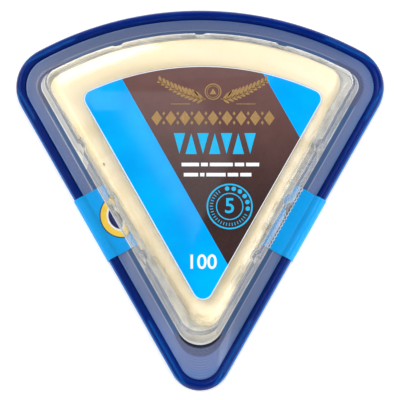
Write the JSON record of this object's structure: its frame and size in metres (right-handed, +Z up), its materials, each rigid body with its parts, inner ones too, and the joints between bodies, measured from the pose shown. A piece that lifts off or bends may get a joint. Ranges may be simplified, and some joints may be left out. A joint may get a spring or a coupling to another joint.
{
  "type": "packed cheese wedge",
  "caption": "Wedge of pale blue cheese sealed in a flat blue tray under a clear domed lid, with a front label and a back label whose ears fold over the rim.",
  "frame": {"origin": "middle of the pack's footprint, on the surface it lies on", "axes": "+Z up through the flat top of the lid, +Y from the pointed tip towards the curved back, +X to the right seen from above with the tip nearest"},
  "size_m": [0.1202, 0.1252, 0.026],
  "materials": {
    "cheese": "moist, crumbly pale cream cheese",
    "clear_film": "clear thermoformed plastic",
    "tray_plastic": "deep blue glossy thermoformed plastic",
    "liner_sheet": "pale grey absorbent sheet",
    "front_print": "printed film label, sky blue with a dark brown stripe",
    "back_print": "printed film label, sky blue"
  },
  "bodies": {
    "root": {"cheese_wedge": "cheese", "clear_lid": "clear_film", "base_tray": "tray_plastic", "liner": "liner_sheet", "front_label": "front_print", "back_label": "back_print"}
  },
  "joints": []
}
